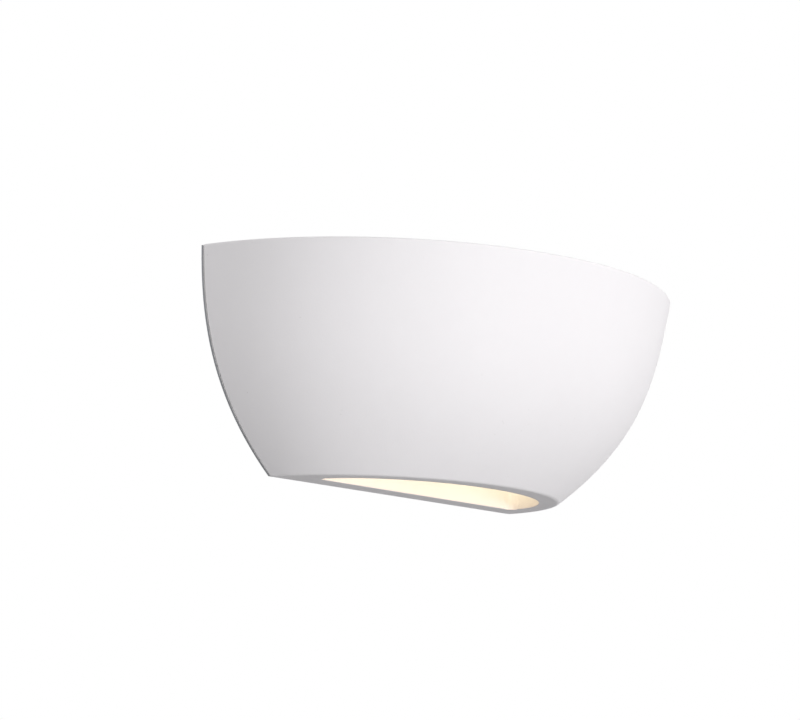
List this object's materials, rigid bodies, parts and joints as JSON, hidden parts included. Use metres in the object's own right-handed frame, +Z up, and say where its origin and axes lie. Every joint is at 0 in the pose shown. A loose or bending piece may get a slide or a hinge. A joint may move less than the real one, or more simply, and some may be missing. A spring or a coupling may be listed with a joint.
{
  "type": "wall light",
  "caption": "Half-bowl plaster wall uplighter with a slot below, on a steel back plate that holds a linear double-ended lamp.",
  "frame": {"origin": "on the wall face, midway between the wall fixings, halfway up the bowl", "axes": "+Y into the wall, +Z up, +X along the wall to the right as seen from the room"},
  "size_m": [0.378, 0.1565, 0.12],
  "materials": {
    "plaster": "matte white unglazed plaster",
    "white_steel": "white powder coat",
    "zinc_steel": "bright zinc plate",
    "spring_steel": "drawn wire",
    "grey_rubber": "matte",
    "brass": "machined",
    "holder_ceramic": "fired steatite",
    "cap_ceramic": "fired steatite",
    "contact_metal": "nickel plate",
    "quartz": "clear quartz",
    "filament": "glowing tungsten",
    "tinned_copper": "tin plate",
    "white_sleeve": "woven glass sleeve",
    "green_sleeve": "woven glass sleeve"
  },
  "bodies": {
    "root": {"back_plate": "white_steel", "cable_grommet": "grey_rubber", "bowl_studs": "zinc_steel", "lamp_arm": "white_steel", "lamp_bracket": "zinc_steel", "bracket_screws": "zinc_steel", "lampholder_left": "holder_ceramic", "lampholder_right": "holder_ceramic", "holder_screws": "zinc_steel", "contact_fixed": "brass", "contact_seat": "brass", "contact_spring": "spring_steel", "terminal_block": "holder_ceramic", "terminal_sleeves": "brass", "terminal_screws": "zinc_steel", "earth_ring": "tinned_copper", "studs_m4": "zinc_steel", "washers_m4": "zinc_steel", "nuts_m4": "zinc_steel", "studs_m3": "zinc_steel", "nuts_m3": "zinc_steel", "live_lead": "white_sleeve", "neutral_lead": "white_sleeve", "earth_lead": "green_sleeve"},
    "bowl": {"bowl": "plaster", "hanger_plates": "zinc_steel", "hanger_screws": "zinc_steel"},
    "thumb_right": {"thumb_nut_right": "brass"},
    "thumb_left": {"thumb_nut_left": "brass"},
    "lamp": {"lamp_tube": "quartz", "lamp_caps": "cap_ceramic", "lamp_contacts": "contact_metal", "lamp_filament": "filament"},
    "plunger": {"contact_plunger": "brass"}
  },
  "joints": [
    {"name": "bowl_pull", "type": "slide", "parent": "root", "child": "bowl", "axis": [0, -1, 0], "range_m": [0, 0.16]},
    {"name": "thumb_right_turn", "type": "hinge", "parent": "bowl", "child": "thumb_right", "pos_m": [0.13408, -0.012, 0.028], "axis": [0, -1, 0], "range_deg": [0, 720]},
    {"name": "thumb_left_turn", "type": "hinge", "parent": "bowl", "child": "thumb_left", "pos_m": [-0.13408, -0.012, 0.028], "axis": [0, -1, 0], "range_deg": [0, 720]},
    {"name": "lamp_push", "type": "slide", "parent": "root", "child": "lamp", "axis": [1, 0, 0], "range_m": [0, 0.0045], "stiffness_N_per_m": 300, "springref_m": -0.004},
    {"name": "plunger_push", "type": "slide", "parent": "root", "child": "plunger", "axis": [1, 0, 0], "range_m": [0, 0.0045]}
  ],
  "couplings": [
    {"joint": "plunger_push", "follows": "lamp_push", "ratio": 1}
  ]
}
